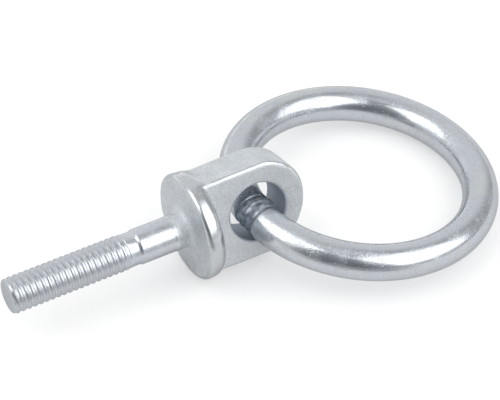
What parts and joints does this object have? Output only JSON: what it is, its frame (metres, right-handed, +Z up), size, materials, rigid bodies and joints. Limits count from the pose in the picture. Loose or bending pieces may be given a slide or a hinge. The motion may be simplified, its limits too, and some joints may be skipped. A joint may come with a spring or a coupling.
{
  "type": "folding tie-down ring",
  "caption": "Forged threaded eye bolt with a round seating collar, carrying a loose welded steel ring that folds flat or stands up to take a strap, hook or rope.",
  "frame": {"origin": "on the surface that the part lies on, in the middle of its footprint", "axes": "+Z up from that surface, -X along the threaded stud towards its tip, +X towards the ring's far side"},
  "size_m": [0.1376, 0.0742, 0.0288],
  "materials": {
    "plated_forging": "bright zinc plating on a forged surface: satin and finely grainy, with polished highlights on the rounded edges and the thread",
    "plated_bar": "bright zinc plating on smooth drawn bar: glossy, with a few fine pits and a faint yellowish tinge"
  },
  "bodies": {
    "bolt": {"eye_bolt": "plated_forging"},
    "ring": {"ring": "plated_bar"}
  },
  "joints": [
    {"name": "ring_fold", "type": "hinge", "parent": "bolt", "child": "ring", "pos_m": [-0.00052, 0.00125, 0.0144], "axis": [0, 0.9677, -0.2521], "range_deg": [-178, 161]}
  ]
}
